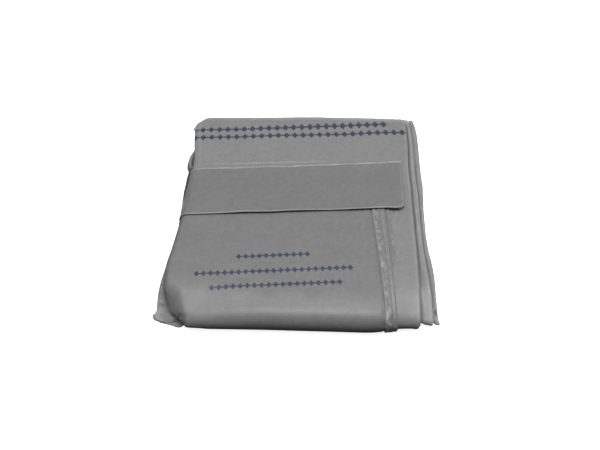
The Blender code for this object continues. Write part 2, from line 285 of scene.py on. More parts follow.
# a point of the folded cloth: over the top, round the front and back below
def place(x, depth, way, shift=0.0):
    x, depth, way = np.broadcast_arrays(x, depth, way)
    half = packet["height"] / 2
    wing = ease(1.72, 2.0, way) * ease(2.62, 2.34, way)  # the lower half thins out to the front left
    inside = x - foldEnd("left", way)
    closed = cuff["flatten"] * ease(20 * mm, 9 * mm, inside)
    closed = closed - cuff["edgeSpread"] * ease(6 * mm, 0.5 * mm, inside)
    depth = depth * (1 - wing * closed)
    radius = half - depth
    turn = np.clip(way - 1, 0, 1) * math.pi
    rear = packet["rearAskew"] * ease(-125 * mm, 20 * mm, x) + 1.0 * mm * ease(-90 * mm, 60 * mm, x)
    rear = rear - packet["rearCut"] * np.clip((-120.5 * mm - x) / (13 * mm), 0, 1)
    top = topY(way) + rear * ease(0.09, 0.0, way)
    below = packet["bendY"] + (packet["rearBelowY"] - packet["bendY"]) * np.maximum(way - 2, 0)
    y = np.where(way <= 1, top, below) - radius * np.sin(turn) + shift
    return settle(x, y, half + radius * np.cos(turn))


# the stepped right side, in mm: the layer from which each groove shows, its depth, how much
# wider it gets towards the front, and the ridges beyond it by distance and height, with painted highlight
foldGrooves = [
    {"fold": "outer", "above": 2.5, "deep": 2.0, "spread": 2.9, "ridges": [(3.6, 1.0), (7.0, 0.6)]},
    {"fold": "middle", "above": 4.5, "deep": 1.3, "spread": 1.5, "ridges": [(3.2, 0.7)]},
]
foldMouth = {"x": 131.6, "behind": 7.0, "wide": 1.5, "long": 2.4, "deep": 3.6, "perLayer": 0.9, "rim": 1.0}
topLip = {"rise": 0.28, "riseAt": 2.2, "dip": 0.22, "dipAt": 6.0}  # along the topmost fold's edge


def steppedRelief(x, layer, way):  # depth pressed into the layers, and their painted highlight and painted shade
    relief, wornAndLit = 0 * x, 0 * x
    softer = ease(0.74, 0.86, way)  # towards the front the grooves widen and the ridges fade
    for groove in foldGrooves:
        above = groove["above"]
        beyond = x - foldEnd(groove["fold"], way)
        share = ease(above, above + 0.4, layer)
        pressed = share * (1 - (layer - above - 0.5) / (6.4 - above))
        wide = (1.5 + groove["spread"] * softer) * mm
        deep = pressed * groove["deep"] * mm * (1 + 0.4 * softer)
        relief = relief + deep * hump(beyond - 0.3 * mm, wide)
        for at, high in groove["ridges"]:
            uneven = 1 + 0.6 * softNoise(way, 0 * way, 0.11, 60 + int(at))
            crest = share * uneven * hump(beyond - at * mm, 1.2 * mm) * (1 - 0.75 * softer)
            relief = relief - high * mm * crest
            # painted highlight along each ridge's crest
            wornAndLit = wornAndLit + 0.4 * high * crest
    # the inmost fold's mouth stays open near the front
    ahead = np.where(way < 1, topLong, packet["bendLong"]) * (way - 1)
    aside = (x - foldMouth["x"] * mm) / (foldMouth["wide"] * mm)
    away = np.hypot(aside, (ahead + foldMouth["behind"] * mm) / (foldMouth["long"] * mm))
    inmost = ease(4.4, 4.7, layer)
    pit = inmost * np.exp(-(away**4))
    relief = relief + (foldMouth["deep"] - foldMouth["perLayer"] * (layer - 5)) * mm * pit
    relief = relief - foldMouth["rim"] * mm * inmost * hump(away - 1.7, 0.45)
    beyond = x - foldEnd("outer", way)
    first = ease(1.6, 1.3, layer) * ease(1.9, 1.6, way)
    relief = relief - first * topLip["rise"] * mm * hump(beyond + topLip["riseAt"] * mm, 1.2 * mm)
    relief = relief + first * topLip["dip"] * mm * hump(beyond + topLip["dipAt"] * mm, 2.0 * mm)
    # the fold's mouth loses paleness: painted shade in the opening
    return relief, wornAndLit - 0.5 * pit


def flatLength(way):  # the same place on the cloth laid flat, counted as y on the top
    bend = math.pi * packet["height"] / 2
    below = (packet["rearBelowY"] - packet["bendY"]) * np.maximum(way - 2, 0)
    return topY(way) - bend * np.clip(way - 1, 0, 1) - below


def layerDepth(layer):
    return packet["firstDepth"] + (layer - 1) * packet["layerPitch"]


def wrapCentre(way):  # the middle of the turn that wraps down the left side
    return foldEnd("left", way) + packet["wrapRadius"] + packet["wrapIn"]


# cloth sheets: every one is built from rows of points along its way

edgeRound = 0.5 * mm  # a cloth's free edge rounds off over this length
sharpFrom = math.radians(55)


def facesOf(x, depth, thick):  # the outer and the inner face of a cloth from its middle line
    dx, dd = np.gradient(x, axis=1), np.gradient(depth, axis=1)
    length = np.hypot(dx, dd)
    nx, nd = -dd / length, dx / length
    upper, lower = thick
    return (x + nx * upper, depth + nd * upper), (x - nx * lower, depth - nd * lower)


def lengthAlong(x, depth):  # from the first point of each row
    run = np.hypot(np.diff(x, axis=1), np.diff(depth, axis=1))
    return np.concatenate([0 * x[:, :1], np.cumsum(run, 1)], 1)


def sewCloth(name, outer, inner, flat, wearAndHighlightShare, material, band=None):
    rows, columns = outer.shape[:2]
    count = rows * columns
    grid = np.arange(count).reshape(rows, columns)
    a, b, c, d = grid[:-1, :-1], grid[:-1, 1:], grid[1:, 1:], grid[1:, :-1]
    quads = [np.stack([a, b, c, d], -1).reshape(-1, 4)]
    quads.append(np.stack([a, d, c, b], -1).reshape(-1, 4) + count)
    side, end = grid[:, 0], grid[:, -1]
    quads.append(np.stack([side[:-1], side[1:], side[1:] + count, side[:-1] + count], -1))
    quads.append(np.stack([end[:-1], end[:-1] + count, end[1:] + count, end[1:]], -1))
    side, end = grid[0], grid[-1]
    quads.append(np.stack([side[:-1], side[:-1] + count, side[1:] + count, side[1:]], -1))
    quads.append(np.stack([end[:-1], end[1:], end[1:] + count, end[:-1] + count], -1))
    quads = np.concatenate(quads)
    points = np.concatenate([outer.reshape(-1, 3), inner.reshape(-1, 3)])
    mesh = bpy.data.meshes.new(name)
    mesh.vertices.add(len(points))
    mesh.vertices.foreach_set("co", points.ravel())
    mesh.loops.add(quads.size)
    mesh.loops.foreach_set("vertex_index", quads.ravel())
    mesh.polygons.add(len(quads))
    mesh.polygons.foreach_set("loop_start", np.arange(len(quads)) * 4)
    mesh.update(calc_edges=True)
    uvs = np.concatenate([flat.reshape(-1, 2)] * 2)[quads.ravel()]
    layer = mesh.uv_layers.new(name="flatCloth")
    layer.data.foreach_set("uv", uvs.ravel())
    for key, amount in (("wearAndHighlight", wearAndHighlightShare), ("inkBand", band)):
        if amount is not None:
            kept = mesh.attributes.new(key, "FLOAT", "POINT")
            kept.data.foreach_set("value", np.concatenate([amount.ravel()] * 2))
    mesh.validate()
    mesh.shade_smooth()
    mesh.set_sharp_from_angle(angle=sharpFrom)
    mesh.materials.append(material)
    piece = bpy.data.objects.new(name, mesh)
    bpy.context.scene.collection.objects.link(piece)
    return piece


def rimmed(count, low, high, edge):  # even steps, with close ones where a free edge rounds off
    inside = np.linspace(low, high, count)
    sign = 1 if high > low else -1
    head = low + sign * edge * np.array([0, 0.15, 0.5])
    tail = high - sign * edge * np.array([0.5, 0.15, 0])
    return np.concatenate([head, inside[1:-1], tail])


def rimHalf(distance, half):  # half thickness near a free edge
    share = np.clip(distance / edgeRound, 0, 1)
    return half * (0.35 + 0.65 * np.sqrt(1 - (1 - share) ** 2))


# materials

def tone(text):  # sRGB hex to the linear colour that Blender takes
    raw = [int(text[i:i + 2], 16) / 255 for i in (1, 3, 5)]
    return [v / 12.92 if v <= 0.04045 else ((v + 0.055) / 1.055) ** 2.4 for v in raw] + [1.0]


def addNode(tree, kind, links=None, inputs=None, **settings):
    node = tree.nodes.new(kind)
    for key, value in settings.items():
        setattr(node, key, value)
    for key, value in (inputs or {}).items():
        node.inputs[key].default_value = value
    for key, source in (links or {}).items():
        tree.links.new(source, node.inputs[key])
    return node


clothLook = {
    "threadPitch": 2.2 * mm,    # real threads lie about 0.4 mm apart; drawn coarser so that the weave shows
    "threadBump": 0.08 * mm,
    "cloudSize": 45.5 * mm,     # unevenness of the coating
    "cloudSpread": 0.07,
    "blotchSize": 6.67 * mm,    # handling marks
    "blotchSpread": 0.06,
    "grainSize": 1.923 * mm,    # thick and thin places in the threads
    "grainSpread": 0.07,
    "bodyGrey": "#6a6a6a",
    "pocketGrey": "#5f5f5f",
    "flapGrey": "#5e5e5e",
    # the paler grey that edges and ridges are mixed towards: mostly painted highlight, partly wear
    "wearAndHighlightGrey": "#8e8e8e",
    "ink": "#151a36",
    "inkThinnest": 0.82,
    "roughness": 0.48,
    "roughnessSpread": 0.06,
    "ior": 1.5,
    "sheen": 0.08,
    "sheenRoughness": 0.5,
}

# rows of small lozenges stand where the cloth is printed: centre and length in mm, as on the flat cloth
pocketPrint = [
    {"centre": (-25.7, -76.6), "length": 81, "tall": 7.4, "step": 6.8, "angle": 4.9},
    {"centre": (-23.8, -97.0), "length": 150, "tall": 7.4, "step": 6.8, "angle": 4.9},
    {"centre": (-20.8, -114.7), "length": 123, "tall": 7.4, "step": 6.8, "angle": 4.9},
]
topPrint = [
    {"centre": (-24.0, 135.9), "length": 238, "tall": 10.8, "step": 9.8, "angle": 4.1},
    {"centre": (-12.0, 122.6), "length": 258, "tall": 10.8, "step": 9.8, "angle": 4.3},
]
lozengeForm = {"halfWidth": 0.42, "dot": 0.16}  # shares of the step and of the height


def printedRow(tree, flat, row):  # where one row's lozenges and the dots between them take ink
    local = addNode(tree, "ShaderNodeMapping", {"Vector": flat}, {
        "Location": (row["centre"][0] * mm, row["centre"][1] * mm, 0),
        "Rotation": (0, 0, math.radians(row["angle"])),
    }, vector_type="TEXTURE")
    split = addNode(tree, "ShaderNodeSeparateXYZ", {"Vector": local.outputs[0]})
    step, tall = row["step"] * mm, row["tall"] * mm
    halfWide, dotSize = step * lozengeForm["halfWidth"], tall * lozengeForm["dot"]
    along = addNode(tree, "ShaderNodeMath", {0: split.outputs[0]}, {1: step / 2}, operation="PINGPONG")
    aside = addNode(tree, "ShaderNodeMath", {0: split.outputs[1]}, operation="ABSOLUTE")
    wide = addNode(tree, "ShaderNodeMath", {0: along.outputs[0]}, {1: halfWide}, operation="DIVIDE")
    high = addNode(tree, "ShaderNodeMath", {0: aside.outputs[0]}, {1: tall / 2}, operation="DIVIDE")
    both = addNode(tree, "ShaderNodeMath", {0: wide.outputs[0], 1: high.outputs[0]}, operation="ADD")
    lozenge = addNode(tree, "ShaderNodeMath", {0: both.outputs[0]}, {1: 1.0}, operation="LESS_THAN")
    away = addNode(tree, "ShaderNodeMath", {1: along.outputs[0]}, {0: step / 2}, operation="SUBTRACT")
    most = addNode(tree, "ShaderNodeMath", {0: away.outputs[0], 1: aside.outputs[0]}, operation="ADD")
    dot = addNode(tree, "ShaderNodeMath", {0: most.outputs[0]}, {1: dotSize}, operation="LESS_THAN")
    reach = addNode(tree, "ShaderNodeMath", {0: split.outputs[0]}, operation="ABSOLUTE")
    count = math.floor(row["length"] / row["step"] / 2)  # no lozenge or dot is cut at the row's ends
    inside = addNode(tree, "ShaderNodeMath", {0: reach.outputs[0]}, {1: count * step}, operation="LESS_THAN")
    dots = addNode(tree, "ShaderNodeMath", {0: dot.outputs[0], 1: inside.outputs[0]}, operation="MULTIPLY")
    marks = addNode(tree, "ShaderNodeMath", {0: lozenge.outputs[0], 1: dots.outputs[0]}, operation="MAXIMUM")
    end = (count + 0.5) * step
    within = addNode(tree, "ShaderNodeMath", {0: reach.outputs[0]}, {1: end}, operation="LESS_THAN")
    inked = addNode(tree, "ShaderNodeMath", {0: marks.outputs[0], 1: within.outputs[0]}, operation="MULTIPLY")
    return inked.outputs[0]


def wovenCloth(name, grey, rows=(), banded=False):
    # coated polyester, plain woven: dull, with a faint grid of threads and a slightly cloudy coating
    made = bpy.data.materials.new(name)
    made.use_nodes = True
    tree = made.node_tree
    shader = tree.nodes["Principled BSDF"]
    flat = addNode(tree, "ShaderNodeUVMap", uv_map="flatCloth").outputs[0]
    scale = math.pi / 10 / clothLook["threadPitch"]  # at scale 1 the bands repeat every tenth of pi
    threads = {"Scale": scale, "Distortion": 0.6, "Detail": 1.0, "Detail Scale": 1.5}
    warp = addNode(tree, "ShaderNodeTexWave", {"Vector": flat}, threads, bands_direction="X")
    weft = addNode(tree, "ShaderNodeTexWave", {"Vector": flat}, threads, bands_direction="Y")
    weave = addNode(tree, "ShaderNodeMath", {0: warp.outputs["Fac"], 1: weft.outputs["Fac"]},
                    operation="MULTIPLY")
    cloud = addNode(tree, "ShaderNodeTexNoise", {"Vector": flat}, {
        "Scale": 1 / clothLook["cloudSize"], "Detail": 4.0, "Roughness": 0.55})
    speck = addNode(tree, "ShaderNodeTexNoise", {"Vector": flat}, {
        "Scale": 1 / clothLook["grainSize"], "Detail": 2.0, "Roughness": 0.6})
    base, pale = tone(grey), tone(clothLook["wearAndHighlightGrey"])
    dark = [v * (1 - clothLook["cloudSpread"]) for v in base[:3]] + [1]
    light = [v * (1 + clothLook["cloudSpread"]) for v in base[:3]] + [1]
    clouded = addNode(tree, "ShaderNodeMix", {"Factor": cloud.outputs["Fac"]}, {6: dark, 7: light},
                      data_type="RGBA")
    grain = addNode(tree, "ShaderNodeMapRange", {"Value": speck.outputs["Fac"]}, {
        "From Min": 0.3, "From Max": 0.7,
        "To Min": 1 - clothLook["grainSpread"], "To Max": 1 + clothLook["grainSpread"]})
    thread = addNode(tree, "ShaderNodeMapRange", {"Value": weave.outputs[0]}, {
        "To Min": 0.97, "To Max": 1.05})
    handled = addNode(tree, "ShaderNodeTexNoise", {"Vector": flat}, {
        "Scale": 1 / clothLook["blotchSize"], "Detail": 1.0})
    blotch = addNode(tree, "ShaderNodeMapRange", {"Value": handled.outputs["Fac"]}, {
        "From Min": 0.3, "From Max": 0.7,
        "To Min": 1 - clothLook["blotchSpread"], "To Max": 1 + clothLook["blotchSpread"]})
    uneven = addNode(tree, "ShaderNodeMath", {0: grain.outputs[0], 1: thread.outputs[0]},
                     operation="MULTIPLY")
    shade = addNode(tree, "ShaderNodeMath", {0: uneven.outputs[0], 1: blotch.outputs[0]},
                    operation="MULTIPLY")
    grained = addNode(tree, "ShaderNodeVectorMath", {0: clouded.outputs[2], "Scale": shade.outputs[0]},
                      operation="SCALE")
    # edges and ridges turn paler: mostly painted highlight, partly wear; the inmost fold's mouth less so, as
    # painted shade
    wearAndHighlight = addNode(tree, "ShaderNodeAttribute", attribute_name="wearAndHighlight")
    wornAndLit = addNode(tree, "ShaderNodeMix", {"Factor": wearAndHighlight.outputs["Fac"], 6: grained.outputs[0]}, {7: pale},
                   data_type="RGBA")
    colour = wornAndLit.outputs[2]
    marks = [printedRow(tree, flat, row) for row in rows]
    if banded:
        marks.append(addNode(tree, "ShaderNodeAttribute", attribute_name="inkBand").outputs["Fac"])
    if marks:  # the ink is a little thin between the threads
        inked = marks[0]
        for mark in marks[1:]:
            inked = addNode(tree, "ShaderNodeMath", {0: inked, 1: mark}, operation="MAXIMUM").outputs[0]
        thin = addNode(tree, "ShaderNodeMapRange", {"Value": speck.outputs["Fac"]}, {
            "From Min": 0.3, "From Max": 0.7, "To Min": clothLook["inkThinnest"], "To Max": 1.0})
        cover = addNode(tree, "ShaderNodeMath", {0: inked, 1: thin.outputs[0]}, operation="MULTIPLY")
        printed = addNode(tree, "ShaderNodeMix", {"Factor": cover.outputs[0], 6: colour},
                          {7: tone(clothLook["ink"])}, data_type="RGBA")
        colour = printed.outputs[2]
    tree.links.new(colour, shader.inputs["Base Color"])
    rough = addNode(tree, "ShaderNodeMapRange", {"Value": cloud.outputs["Fac"]}, {
        "To Min": clothLook["roughness"] - clothLook["roughnessSpread"],
        "To Max": clothLook["roughness"] + clothLook["roughnessSpread"]})
    tree.links.new(rough.outputs[0], shader.inputs["Roughness"])
    shader.inputs["IOR"].default_value = clothLook["ior"]
    shader.inputs["Sheen Weight"].default_value = clothLook["sheen"]
    shader.inputs["Sheen Roughness"].default_value = clothLook["sheenRoughness"]
    relief = addNode(tree, "ShaderNodeMath", {0: weave.outputs[0], 1: speck.outputs["Fac"]},
                     operation="ADD")
    bump = addNode(tree, "ShaderNodeBump", {"Height": relief.outputs[0]}, {
        "Strength": 0.5, "Distance": clothLook["threadBump"]})
    tree.links.new(bump.outputs["Normal"], shader.inputs["Normal"])
    return made


threadLook = {
    "dark": "#707070",
    "pale": "#8f8f8f",
    "fuzzSize": 1.111 * mm,
    "fuzzHigh": 0.1 * mm,
    "roughness": 0.75,
}


def sewingThread():
    # spun polyester sewing thread: pale, dull and a little fuzzy
    made = bpy.data.materials.new("spunPolyesterThread")
    made.use_nodes = True
    tree = made.node_tree
    shader = tree.nodes["Principled BSDF"]
    where = addNode(tree, "ShaderNodeTexCoord").outputs["Object"]
    fuzz = addNode(tree, "ShaderNodeTexNoise", {"Vector": where}, {
        "Scale": 1 / threadLook["fuzzSize"], "Detail": 2.0})
    shades = addNode(tree, "ShaderNodeMix", {"Factor": fuzz.outputs["Fac"]},
                     {6: tone(threadLook["dark"]), 7: tone(threadLook["pale"])}, data_type="RGBA")
    tree.links.new(shades.outputs[2], shader.inputs["Base Color"])
    shader.inputs["Roughness"].default_value = threadLook["roughness"]
    bump = addNode(tree, "ShaderNodeBump", {"Height": fuzz.outputs["Fac"]}, {
        "Strength": 0.4, "Distance": threadLook["fuzzHigh"]})
    tree.links.new(bump.outputs["Normal"], shader.inputs["Normal"])
    return made


# the bag's body: one sheet, folded back and forth and then in half

bodyCloth = {
    "thick": 1.0 * mm,
    "bulge": 0.28 * mm,         # a fold of soft cloth swells a little
    "topPoints": 54,
    "foldPoints": 7,            # round a turn on the right, where it shows
    "turnPoints": 5,            # round one on the left, inside
    "wrapPoints": 15,
    "rearHem": 9.0 * mm,
    "hemThicker": 0.35,
    "unevenness": 0.16 * mm,
    "openEndLift": 0.25 * mm,
}

# rows of points along the way: from, to and how many; the closest follow the creases at the flap's
# seam, the front, the cuff and the printed strip
bodyRows = [
    (0.09, 0.25, 12), (0.25, 0.32, 15), (0.32, 0.86, 37), (0.86, 0.95, 8), (0.95, 1, 12), (1, 2, 29),
    (2, 2.05, 6), (2.05, 2.085, 8), (2.085, 2.22, 5), (2.22, 2.55, 8), (2.55, 2.73, 5), (2.73, 2.77, 7),
    (2.77, 2.9983, 13),
]


# along one layer, close together where it shows and where it turns
def runPoints(start, end, fine, between):
    toRight = np.concatenate([[0, 0.4], np.arange(1.1, 13.2, fine)]) * mm
    toLeft = np.array([0, 0.6, 1.8, 4, 7, 11, 15, 20, 26]) * mm
    length = np.abs(end - start)
    middle = toRight[-1] + (length - toRight[-1] - toLeft[-1]) * np.linspace(0, 1, between + 2)[1:-1]
    away = np.concatenate([toRight + 0 * length, middle, length - toLeft[::-1]], 1)
    if np.mean(start) > np.mean(end):
        return start - away[:, :-1]
    return end - away[:, :0:-1]


def bodyLine(way):  # across the packet, from the inmost free edge to the outermost turn
    way = way[:, None]
    half = packet["layerPitch"] / 2
    bulge, thick = bodyCloth["bulge"], bodyCloth["thick"]
    left = foldEnd("left", way)
    wrapX = wrapCentre(way)
    leftX = left + packet["innerSetback"] + packet["wrapIn"] + half
    xs, depths, wearAndHighlightShare = [], [], []

    def addRun(start, end, depth, startLift, endLift, fine=0.9, between=5):
        x = runPoints(start, end, fine, between)
        lift = startLift * (1 - ease(0, 10 * mm, np.abs(x - start)))
        lift = lift + endLift * (1 - ease(0, 10 * mm, np.abs(x - end)))
        xs.append(x)
        depths.append(depth + lift + 0 * x)
        # painted highlight near each turn of the layer
        wearAndHighlightShare.append(0.25 * (1 - ease(0.5 * mm, 3 * mm, np.minimum(np.abs(x - start), np.abs(x - end)))))

    def addFold(centreX, depth, start, end, count):
        angle = np.linspace(start, end, count + 1)[:-1] + 0 * centreX
        xs.append(centreX + half * np.sin(angle))
        depths.append(depth - (half + bulge) * np.cos(angle))
        # painted highlight round the turn, strongest at its outermost side
        wearAndHighlightShare.append(0.25 + 0.2 * np.sin(angle) ** 2)

    # below, the free edge steps out beside the printed strip and back in again
    below = packet["freeBelow"] - 1.8 * mm * ease(2.50, 2.56, way) + 2.2 * mm * ease(2.742, 2.756, way)
    start = left + packet["freeSetback"] + (below - packet["freeSetback"]) * ease(1.7, 1.95, way)
    lift = 0.0
    for name, deep in (("inner", 6), ("middle", 4), ("outer", 2)):
        rightX = foldEnd(name, way) - thick / 2 - half
        low, high = layerDepth(deep), layerDepth(deep - 1)
        addRun(start, rightX, low, -lift, bulge)
        addFold(rightX, (low + high) / 2, math.pi, 0.0, bodyCloth["foldPoints"])
        if name != "outer":
            addRun(rightX, leftX, high, -bulge, bulge)
            addFold(leftX, high - half, -math.pi, 0.0, bodyCloth["turnPoints"])
            start, lift = leftX, bulge
    addRun(rightX, wrapX, layerDepth(1), -bulge, 0.0, 0.7, bodyCloth["topPoints"])
    wrapPoints = bodyCloth["wrapPoints"]
    wrapTurn = packet["wrapTurn"] - math.radians(12) * ease(1.5, 1.9, way)
    angle = -wrapTurn * np.linspace(0, 1, wrapPoints)
    xs.append(wrapX + packet["wrapRadius"] * np.sin(angle))
    depths.append(layerDepth(1) + packet["wrapRadius"] * (1 - np.cos(angle)))
    # painted highlight along the wrap's rounded rim, and at its lower end towards the front
    wearAndHighlightShare.append(0.75 * hump(-angle - 0.95, 0.4) + 0.6 * ease(1.75, 2.1, -angle) * ease(1.6, 2.0, way))
    x, depth, wearAndHighlight = (np.concatenate(found, 1) for found in (xs, depths, wearAndHighlightShare))
    along = lengthAlong(x, depth)
    first = x.shape[1] - wrapPoints - xs[-2].shape[1]
    top = slice(first, -wrapPoints)
    middle = np.array([np.interp(0, -row[top], run[top]) for row, run in zip(x, along)])
    u = middle[:, None] - along
    hidden = first - bodyCloth["foldPoints"]
    u[:, :hidden] = 500 * mm + x[:, :hidden]  # the lower layers' weave runs straight, clear of the print
    return x, depth, u, wearAndHighlight, along


def layerOf(depth):
    return np.clip(1 + (depth - packet["firstDepth"]) / packet["layerPitch"], 1, 6)


def makeBody(material):
    rows = [[0, 0.00026, 0.0009], np.linspace(0.0017, 0.09, 10)]
    rows += [np.linspace(low, high, count + 1)[1:] for low, high, count in bodyRows]
    way = np.concatenate(rows + [[2.9991, 2.99974, 3.0]])
    x, depth, u, wearAndHighlight, along = bodyLine(way)
    way = way[:, None]
    overhang = np.interp(layerOf(depth), np.arange(1, 7), rearOverhang)
    fade = ease(0.16, 0.0, way) + ease(2.84, 3.0, way)
    shift = fade * overhang
    rearEdge = np.minimum(way, 3 - way) * topLong
    half = rimHalf(rearEdge, bodyCloth["thick"] / 2) + 0 * x
    hemmed = ease(bodyCloth["rearHem"] + 1 * mm, bodyCloth["rearHem"], rearEdge) * ease(0, 1 * mm, rearEdge)
    half = half * (1 + bodyCloth["hemThicker"] * hemmed)
    sides = np.concatenate([np.full(x.shape[1] - 4, 1.0), [0.9, 0.75, 0.55, 0.35]])
    sides[:3] = [0.35, 0.7, 0.9]
    half = half * sides  # both free sides round off over their last columns
    own = bodyCloth["unevenness"] * softNoise(u, flatLength(way) + 0 * u, 26 * mm, 21)
    relief, wornAndLit = steppedRelief(x, layerOf(depth), way)
    (outX, outDepth), (inX, inDepth) = facesOf(x, depth + own + relief, (half, half))
    low = ease(1.8, 2.0, way)  # the underside rests flat
    outDepth, inDepth = (d + low * (np.maximum(d, 0.02 * mm) - d) for d in (outDepth, inDepth))
    # the top layer's open end bends up a little
    curl = -bodyCloth["openEndLift"] * ease(7 * mm, 0, way * topLong) * (layerOf(depth) < 1.5)
    outer = place(outX, outDepth + curl, way, shift)
    inner = place(inX, inDepth + curl, way, shift)
    flat = np.stack([u, flatLength(way) + shift + 0 * u], -1)
    # painted highlight along the rounded rear ends; the ridges' painted highlight and the fold mouth's
    # painted shade are added too
    wearAndHighlight = wearAndHighlight + wornAndLit + 0.9 * ease(7 * mm, 0, rearEdge)
    # painted highlight along the crest of the cuff's ridge
    px, py = outer[..., 0] + packet["middle"][0], outer[..., 1] + packet["middle"][1]
    aside, share = lineDistance(px, py, *cuff["ridge"])
    crest = hump(aside, 1.5 * mm) * ease(-0.1, 0.2, share) * ease(10 * mm, 7 * mm, outer[..., 2])
    wearAndHighlight = wearAndHighlight + 0.8 * crest * ease(1.9, 2.0, way)
    wearAndHighlight = wearAndHighlight * (0.75 + 0.35 * softNoise(u, flatLength(way) + 0 * u, 9 * mm, 22))
    # the printed strip below at the left, in two parts
    band = ease(7 * mm, 6 * mm, along) * ease(2.575, 2.585, way) * ease(2.86, 2.85, way)
    band = band * (1 - 0.9 * hump(way - 2.749, 0.005))
    band = band * (1 - ease(2.752, 2.758, way) * ease(3.0 * mm, 2.2 * mm, along))
    return sewCloth("foldedBag", outer, inner, flat, np.clip(wearAndHighlight, 0, 1), material, band)


# the manual's pocket, with a stitched hem at its right side

pocket = {
    "thick": 1.0 * mm,
    "hemWidth": 12.5 * mm,
    "hemRise": 0.95 * mm,
    "lip": 4.9 * mm,                # cloth beyond the hem's outer stitching, tucked under towards the front
    "leastLip": 0.4 * mm,
    "depth": -0.72 * mm,            # it lies above the bag's own cloth
    "right": 87.2 * mm,
    "slant": 0.041,
    "width": 229 * mm,
    "wrap": math.radians(104),      # the most that it turns down at the left
    "mouthY": 20.0 * mm,
    "bendEnd": 1 + 147 / 180,
    "stitchLines": (0.70, 0.28),    # share of the hem's width, from the right edge
    "stitchDeep": 0.32 * mm,
    "innerGroove": 0.60 * mm,
    "outerGroove": 0.45 * mm,
    "pucker": 0.62 * mm,
    # crests of the puckers made paler beside the stitching: share of the hem's width, how much, seed
    "paleCrests": [(0.78, 0.95, 40), (0.60, 0.40, 39), (0.24, 0.45, 35)],
}


def pocketRight(way):
    return pocket["right"] - pocket["slant"] * topY(way) + 1.5 * mm * ease(1, 1.5, way)


def wayAt(y):
    return (packet["rearY"] - y) / topLong


def hemWide(way):
    return pocket["hemWidth"] + 1.4 * mm - 3.4 * mm * ease(0.45, 1.0, way) + 1.2 * mm * ease(1.0, 1.3, way)


def lipWide(way):
    return pocket["leastLip"] + pocket["lip"] * ease(0.85, 0.75, way)


def hemRelief(fromEdge, along, wide):  # the hem's height over the pocket: raised, pulled in at its stitches
    rise = pocket["hemRise"] * ease(wide + 0.5 * mm, wide - 0.5 * mm, fromEdge)
    rise = rise * ease(-0.6 * mm, 0.4 * mm, fromEdge)
    groove = -pocket["innerGroove"] * hump(fromEdge - wide - 1.1 * mm, 0.9 * mm)
    groove = groove - pocket["outerGroove"] * hump(fromEdge + 0.9 * mm, 0.9 * mm)
    for line in pocket["stitchLines"]:
        groove = groove - pocket["stitchDeep"] * hump(fromEdge - line * wide, 0.7 * mm)
    ripple = softNoise(along * 1.6, fromEdge, 4.6 * mm, 31) * hump(fromEdge - 0.72 * wide, 0.45 * wide)
    return rise + groove + pocket["pucker"] * ripple


def makePocket(material):
    top = np.linspace(wayAt(pocket["mouthY"]), 1, 66)[:-1]
    way = np.concatenate([top, rimmed(30, 1.0, pocket["bendEnd"], 0.013)[3:]])[:, None]
    right, hem, lip = pocketRight(way), hemWide(way), lipWide(way)
    hemX = right - hem
    wrapX = wrapCentre(way)
    turnDepth = layerDepth(1) + packet["wrapRadius"]
    radius = turnDepth - pocket["depth"]
    turn = np.minimum(pocket["wrap"], (pocket["width"] - (right - wrapX)) / radius)
    # columns, as shares from the right: the lip, the hem, the plain cloth and the turn at the left
    lipShare = rimmed(7, 0.0, 1.0, 0.08)[:-3]
    hemShare = np.linspace(0, 1, 27)[:-1]
    plainShare = np.concatenate([np.linspace(0, 0.024, 9)[:-1], np.linspace(0.024, 1, 76)[:-1]])
    angle = -turn * rimmed(18, 0.0, 1.0, 0.035)[3:]
    lain = np.concatenate([right + lip * (1 - lipShare), right + (hemX - right) * hemShare,
                           hemX + (wrapX - hemX) * plainShare], 1)
    x = np.concatenate([lain, wrapX + radius * np.sin(angle)], 1)
    depth = np.concatenate([pocket["depth"] + 0 * lain, turnDepth - radius * np.cos(angle)], 1)
    along = lengthAlong(x, depth)
    v = flatLength(way) + 0 * x
    edge = np.minimum(along, along[:, -1:] - along)
    edge = np.minimum(edge, (pocket["bendEnd"] - way) * packet["bendLong"])
    half = rimHalf(edge, pocket["thick"] / 2)
    fromHem = along - lip
    upper = half + hemRelief(fromHem, v, hem) * ease(0, 0.8 * mm, edge)
    (outX, outDepth), (inX, inDepth) = facesOf(x, depth, (upper, half))
    # paler along the hem's two edges, at the lip's edge and on the crests of the puckers
    wearAndHighlight = 0.2 * ease(1.6 * mm, 0, np.abs(fromHem - 0.8 * mm))
    wearAndHighlight = wearAndHighlight + 0.2 * ease(1.4 * mm, 0, np.abs(fromHem - hem + 0.8 * mm))
    patchy = np.clip(0.5 + 1.0 * softNoise(along * 0.5, v, 3.1 * mm, 37), 0, 1)
    wearAndHighlight = wearAndHighlight + 0.6 * patchy * ease(1.0 * mm, 3.5 * mm, lip) * ease(2.2 * mm, 0.4 * mm, along)
    for share, much, seed in pocket["paleCrests"]:
        crest = hump(fromHem - share * hem, 0.75 * mm)
        patchy = np.clip(0.35 + 1.3 * softNoise(along * 0.6, v, 2.9 * mm, seed), 0, 1)
        wearAndHighlight = wearAndHighlight + much * crest * patchy * (1 + 0.7 * ease(0.94, 1.05, way))
    outer, inner = place(outX, outDepth, way), place(inX, inDepth, way)
    flat = np.stack([right - fromHem, v], -1)
    return sewCloth("manualPocket", outer, inner, flat, np.clip(wearAndHighlight, 0, 1), material)


# the flap over the pocket's mouth

